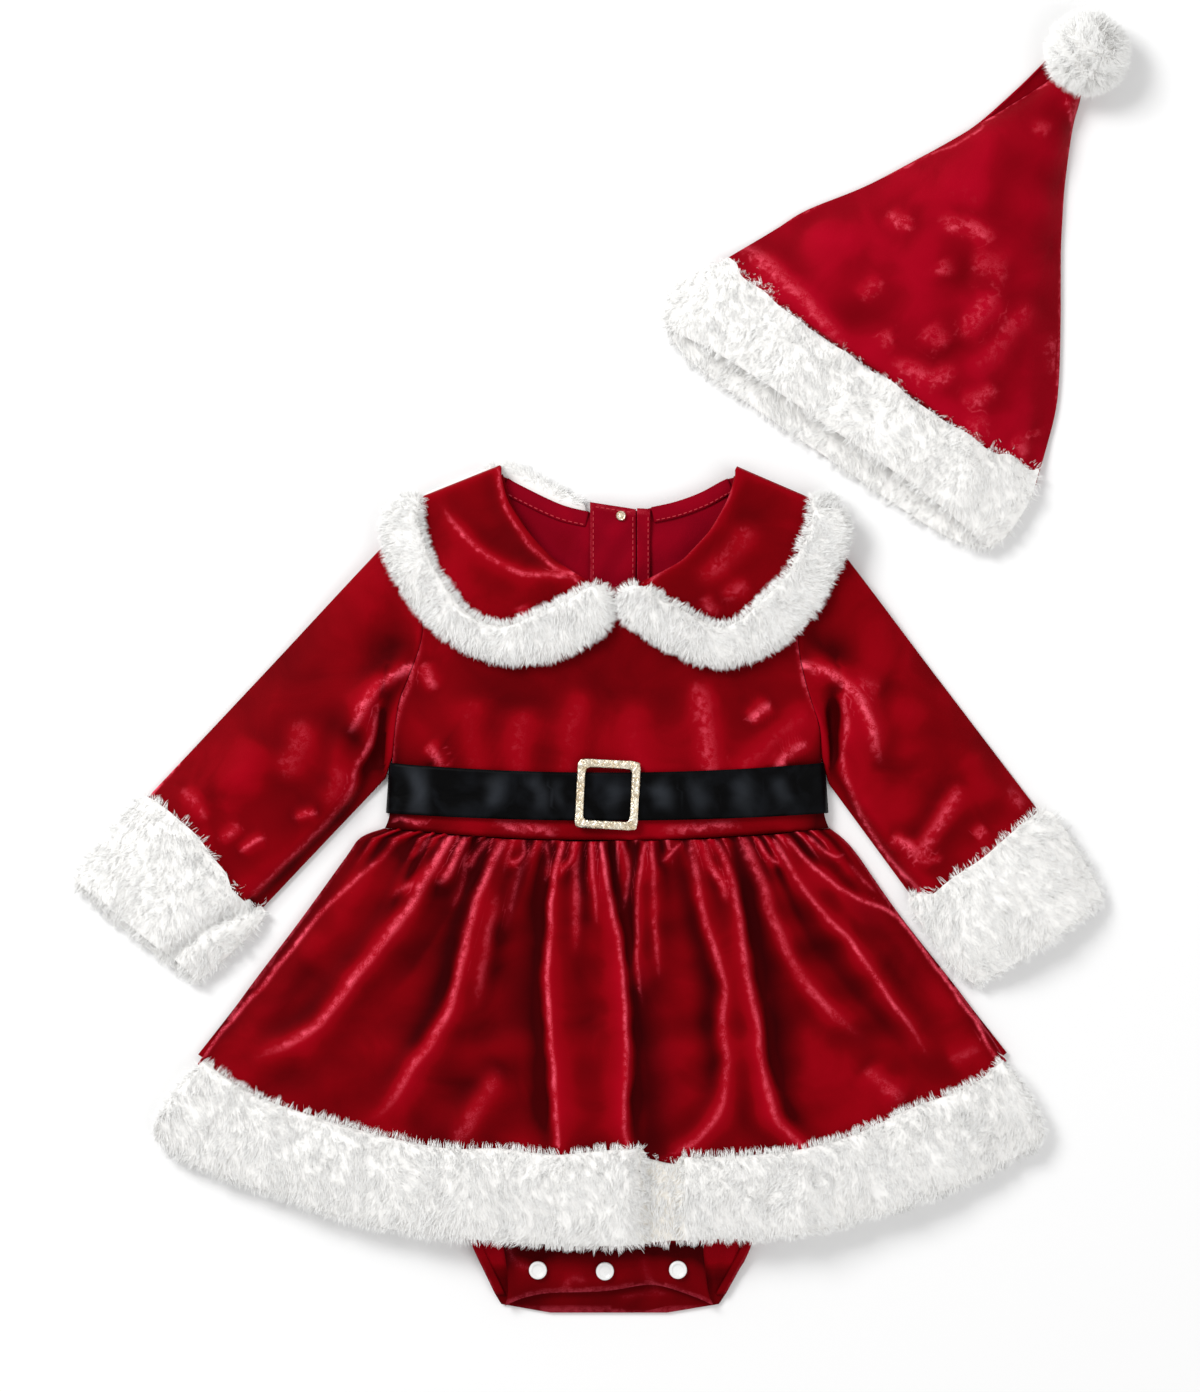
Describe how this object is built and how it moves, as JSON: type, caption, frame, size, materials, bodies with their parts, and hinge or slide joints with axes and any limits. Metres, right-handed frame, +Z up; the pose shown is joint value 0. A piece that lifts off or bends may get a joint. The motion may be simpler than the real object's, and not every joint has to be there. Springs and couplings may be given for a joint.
{
  "type": "santa romper and hat set",
  "caption": "Baby's red velvet romper dress with white fur trim, a black belt and a gold buckle, and a matching pointed hat with a pompom, both laid flat.",
  "frame": {"origin": "on the surface the set lies on, under the middle of its bounding box", "axes": "+X to the right of the picture, which is the wearer's left, +Y from hem to neck and hat, +Z up from the surface to the garment's front"},
  "size_m": [0.5596, 0.6908, 0.0289],
  "materials": {
    "velvet": "crushed velvet",
    "fur": "long white fur",
    "satin": "satin ribbon",
    "gold_metal": "hammered, champagne gold",
    "snap_enamel": "glossy white"
  },
  "bodies": {
    "root": {"bodice_front": "velvet", "bodice_back_left": "velvet", "bodice_back_right": "velvet", "neck_binding_left": "velvet", "neck_binding_right": "velvet", "placket_left": "velvet", "placket_right": "velvet", "sleeve_left": "velvet", "sleeve_right": "velvet", "collar_left": "velvet", "collar_right": "velvet", "leg_binding_left": "velvet", "leg_binding_right": "velvet", "skirt_front": "velvet", "skirt_back": "velvet", "brief_front": "velvet", "brief_back": "velvet", "hat_cone": "velvet", "cuff_left": "fur", "cuff_right": "fur", "collar_fur_left": "fur", "collar_fur_right": "fur", "hem_fur_front": "fur", "hem_fur_back": "fur", "hat_brim": "fur", "hat_pompom": "fur", "belt": "satin", "buckle": "gold_metal", "neck_button": "gold_metal", "snap_1": "snap_enamel", "snap_2": "snap_enamel", "snap_3": "snap_enamel"}
  },
  "joints": []
}
